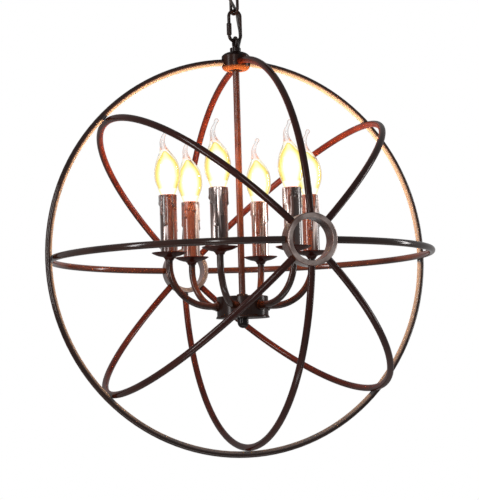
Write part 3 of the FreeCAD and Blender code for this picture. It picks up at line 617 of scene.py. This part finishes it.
def build_glass(k, centre, outline):
    """Blown glass with a hollow, a bent tail and a bead at its end."""
    outer = [(h * MM, r * MM, s * MM) for h, r, s in outline]
    hollow = []
    for h, r, s in outline:
        if h < HOLLOW_TOP:
            rise = max(0.0, (h - HOLLOW_SHOULDER) / (HOLLOW_TOP - HOLLOW_SHOULDER))
            inner = max((r - GLASS_WALL) * math.sqrt(1 - rise ** 2), HOLLOW_LEAST_R)
            hollow.append((h * MM, inner * MM, s * MM))
    hollow[0] = (hollow[0][0] + GLASS_WALL * MM, *hollow[0][1:])
    vertices = lathe(outer, GLASS_AROUND, centre)
    inside = len(vertices)
    vertices += lathe(hollow, GLASS_AROUND, centre)
    top = inside - GLASS_AROUND
    hollow_top = len(vertices) - GLASS_AROUND
    faces = flipped([disc(0, GLASS_AROUND)])
    faces += ring_faces(len(outer), GLASS_AROUND) + [disc(top, GLASS_AROUND)]
    faces += flipped(ring_faces(len(hollow), GLASS_AROUND, inside))
    faces += [disc(inside, GLASS_AROUND)] + flipped([disc(hollow_top, GLASS_AROUND)])
    glass = mesh_object(f"bulb_glass_{k}", vertices, faces, "glass")
    glass.visible_shadow = False
    glass.data.materials.append(MATERIALS["tail"])
    for polygon in glass.data.polygons:
        if polygon.center.z > centre.z + TAIL_FROM * MM:
            polygon.material_index = 1
    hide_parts(f"bulb_{k}")
    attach(glass, f"bulb_{k}")


def build_glow(k, centre, outline):
    """The lit body inside the glass."""
    rows = []
    for h, r, s in outline:
        if not GLOW_LOW <= h <= GLOW_HIGH:
            continue
        rise = (h - GLOW_LOW) / (GLOW_HIGH - GLOW_LOW)
        fade = math.sqrt(max(0.0, 1 - rise ** GLOW_ROUNDING))
        rows.append((h * MM, r * GLOW_SHARE * fade * MM + GLOW_LEAST_R * MM, s * MM))
    vertices = lathe(rows, GLOW_AROUND, centre)
    faces = ring_faces(len(rows), GLOW_AROUND)
    faces += flipped([disc(0, GLOW_AROUND)]) + [disc(len(vertices) - GLOW_AROUND, GLOW_AROUND)]
    light = mesh_object(f"bulb_light_{k}", vertices, faces, "light")
    light.visible_shadow = False
    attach(light, f"bulb_{k}")


CAP_R = 6.6 * MM
CAP_TOP = -8.0 * MM            # from the sleeve's top
CAP_THREAD = 18.0 * MM
CAP_THREAD_PITCH = 2.6 * MM
CAP_THREAD_DEPTH = 0.35 * MM
CAP_THREAD_STEPS = 60
CAP_LENGTH = 22.2 * MM
CAP_LEAST_R = 0.3 * MM
CAP_AROUND = 40
CAP_SHOULDER = ((20.0 * MM, 4.2 * MM), (20.2 * MM, 3.0 * MM))    # distance below the cap's top, and radius
CONTACT_R = 2.9 * MM
CONTACT_HEIGHT = 0.5 * MM


def build_cap(k, centre):
    """The bulb's screw cap, with a rounded thread and the contact below."""
    rows = [(CAP_TOP, CAP_LEAST_R, 0.0), (CAP_TOP, CAP_R - CAP_THREAD_DEPTH, 0.0)]
    for step in range(1, CAP_THREAD_STEPS + 1):
        down = CAP_THREAD * step / CAP_THREAD_STEPS
        wave = 0.5 - 0.5 * math.cos(2 * math.pi * down / CAP_THREAD_PITCH)
        rows.append((CAP_TOP - down, CAP_R - CAP_THREAD_DEPTH * wave, 0.0))
    rows += [(CAP_TOP - down, radius, 0.0) for down, radius in CAP_SHOULDER]
    rows += [(CAP_TOP - CAP_LENGTH + CONTACT_HEIGHT, CONTACT_R, 0.0),
             (CAP_TOP - CAP_LENGTH, CAP_LEAST_R, 0.0)]
    faces = flipped(ring_faces(len(rows), CAP_AROUND))
    cap = mesh_object(f"bulb_cap_{k}", lathe(rows, CAP_AROUND, centre), faces, "cap")
    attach(cap, f"bulb_{k}")


LAMP_WATTS = 6.0
LAMP_COLOUR = (1.0, 0.58, 0.27)
LAMP_UP = 30 * MM
LAMP_R = 13 * MM


def build_lamp(k, centre):
    """The light that the bulb gives to what is round it. It moves with the bulb."""
    data = bpy.data.lights.new(f"lamp_{k}", "POINT")
    data.energy = LAMP_WATTS
    data.color = LAMP_COLOUR
    data.shadow_soft_size = LAMP_R
    lamp = new_object(f"lamp_{k}", data)
    lamp.location = centre + Vector((0, 0, LAMP_UP))
    lamp.visible_camera = False
    lamp.visible_glossy = False
    lamp.parent = frame["bodies"][f"bulb_{k}"]


# ---------------------------------------------------------------- supply cord
CORD_R = 2.2 * MM
CORD_AROUND = 20
# The route of the cord, as the solid has it, in millimetres from the ceiling's centre.
CORD_ROUTE = (
    (-20.0, 0.0, -17.1), (-20.0, 0.0, -39.0), (-16.5, -1.5, -62.0), (-15.0, -3.0, -93.0),
    (-13.0, -3.5, -113.0), (5.5, 5.0, -137.0), (8.0, 8.0, -153.0), (11.0, 7.5, -169.0),
    (10.2, 6.2, -182.0), (5.5, 1.5, -192.0), (5.5, 1.5, -198.5))
CORD_JOINTS = ("link_1_swing", "link_2_swing", "link_3_swing", "quick_link_swing", "fixture_swing")


def cord_line():
    """Points along the smooth curve that the route gives."""
    curve = bpy.data.curves.new("cord_route", "CURVE")
    curve.dimensions = "3D"
    curve.resolution_u = 14
    spline = curve.splines.new("NURBS")
    spline.points.add(len(CORD_ROUTE) - 1)
    for point, place in zip(spline.points, CORD_ROUTE):
        point.co = (*[value * MM for value in place], 1.0)
    spline.order_u = 3
    spline.use_endpoint_u = True
    holder = new_object("cord_route", curve)
    bpy.context.view_layer.update()
    mesh = bpy.data.meshes.new_from_object(holder)
    line = [v.co.copy() for v in mesh.vertices]
    bpy.data.objects.remove(holder)
    bpy.data.meshes.remove(mesh)
    return line


def cord_rings(line):
    """A ring of points round each point of the line, with no twist from one to the next."""
    rings = []
    side = Vector((1, 0, 0))
    for index, point in enumerate(line):
        before = line[max(index - 1, 0)]
        after = line[min(index + 1, len(line) - 1)]
        along = (after - before).normalized()
        side = (side - along * side.dot(along)).normalized()
        over = along.cross(side)
        rings.append([point + (side * math.cos(angle) + over * math.sin(angle)) * CORD_R
                      for angle in angles(CORD_AROUND)])
    return rings


def build_cord():
    """One tube in stretches, cut between the heights of the chain's joints."""
    line = cord_line()
    rings = cord_rings(line)
    joints = {joint["name"]: joint for joint in frame["joints"]}
    turns = [joints[name]["pos_m"][2] for name in CORD_JOINTS]
    cuts = [0]
    for upper, lower in zip(turns, turns[1:]):
        middle = (upper + lower) / 2
        cuts.append(min(range(len(line)), key=lambda i: abs(line[i].z - middle)))
    cuts.append(len(line) - 1)
    for n, height in enumerate(turns):
        stretch = rings[cuts[n]:cuts[n + 1] + 1]
        faces = ring_faces(len(stretch), CORD_AROUND)
        if n == 0:
            faces += flipped([disc(0, CORD_AROUND)])
        if n == len(turns) - 1:
            faces.append(disc((len(stretch) - 1) * CORD_AROUND, CORD_AROUND))
        vertices = [point for ring in stretch for point in ring]
        piece = mesh_object(f"supply_cord_{n + 1}", vertices, faces, "cord")
        if n == 0:
            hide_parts("supply_cord")
        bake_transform(piece)


# ---------------------------------------------------------------- room and light
WORLD_LIGHT = 0.15
FLOOR_DROP = 2.45              # from the ceiling to the floor
FLOOR_SIZE = 9.0
FLOOR_COLOUR = (0.86, 0.86, 0.85)
FLOOR_PALE = 0.5               # added for camera, metal and glass to the light that falls on the floor


def seen_white(tree, plain, white):
    """The shader plain for light that falls on the object, and white where camera, metal or glass looks."""
    path = tree.nodes.new("ShaderNodeLightPath").outputs
    seen = maths(tree, "MAXIMUM", path["Is Camera Ray"], path["Is Glossy Ray"]).outputs[0]
    seen = maths(tree, "MAXIMUM", seen, path["Is Transmission Ray"]).outputs[0]
    return mixed_shaders(tree, seen, plain, white)


def white_background(tree, strength):
    node = tree.nodes.new("ShaderNodeBackground")
    node.inputs["Color"].default_value = (*WHITE, 1.0)
    node.inputs["Strength"].default_value = strength
    return node.outputs[0]


def build_world():
    world = bpy.data.worlds.new("studio")
    bpy.context.scene.world = world
    world.use_nodes = True
    tree = world.node_tree
    tree.nodes.clear()
    surface = seen_white(tree, white_background(tree, WORLD_LIGHT), white_background(tree, 1.0))
    tree.links.new(surface, tree.nodes.new("ShaderNodeOutputWorld").inputs["Surface"])


def build_floor():
    """A pale floor far below the chandelier."""
    half = FLOOR_SIZE / 2
    mesh = bpy.data.meshes.new("floor")
    corners = [(x, y, -FLOOR_DROP) for x, y in ((-half, -half), (half, -half), (half, half), (-half, half))]
    mesh.from_pydata(corners, [], [(0, 1, 2, 3)])
    floor = new_object("floor", mesh)
    material, tree, shader = new_material("floor", Base_Color=(*FLOOR_COLOUR, 1.0), Roughness=0.9)
    pale = tree.nodes.new("ShaderNodeEmission")
    pale.inputs["Strength"].default_value = FLOOR_PALE
    both = tree.nodes.new("ShaderNodeAddShader")
    tree.links.new(shader.outputs[0], both.inputs[0])
    tree.links.new(pale.outputs[0], both.inputs[1])
    surface = seen_white(tree, shader.outputs[0], both.outputs[0])
    tree.links.new(surface, tree.nodes["Material Output"].inputs["Surface"])
    mesh.materials.append(material)


# Each soft lamp's name, bearing and height angle in degrees, distance from the centre, size, watts, colour.
SOFT_LAMPS = (
    ("left_window", -80.0, 8.0, 2.8, (0.26, 2.2), 76.0, (1.0, 0.98, 0.98)),
    ("front_window", -33.0, 6.0, 2.8, (0.20, 1.6), 40.0, (1.0, 0.98, 0.97)),
    ("right_window", 88.0, 4.0, 2.8, (0.26, 2.0), 52.0, (1.0, 0.97, 0.96)),
    ("low_strip", -10.0, -72.0, 1.8, (2.0, 0.10), 9.0, (1.0, 0.98, 0.98)),
)


def build_soft_lamps():
    for name, bearing, height, distance, (wide, high), watts, colour in SOFT_LAMPS:
        data = bpy.data.lights.new(name, "AREA")
        data.shape = "RECTANGLE"
        data.size = wide
        data.size_y = high
        data.energy = watts
        data.color = colour
        lamp = new_object(name, data)
        away = direction(math.radians(bearing), math.radians(height))
        turn = away.to_track_quat("Z", "Y").to_matrix().to_4x4()
        lamp.matrix_world = Matrix.Translation(CENTRE + away * distance) @ turn
        lamp.visible_camera = False


# ---------------------------------------------------------------- all together
build_camera()
build_world()
build_floor()
build_soft_lamps()
paint_nodes()
for candle in CANDLES:
    build_sleeve(candle)
    build_bulb(candle)
build_cord()
bpy.context.scene.view_settings.view_transform = "Standard"
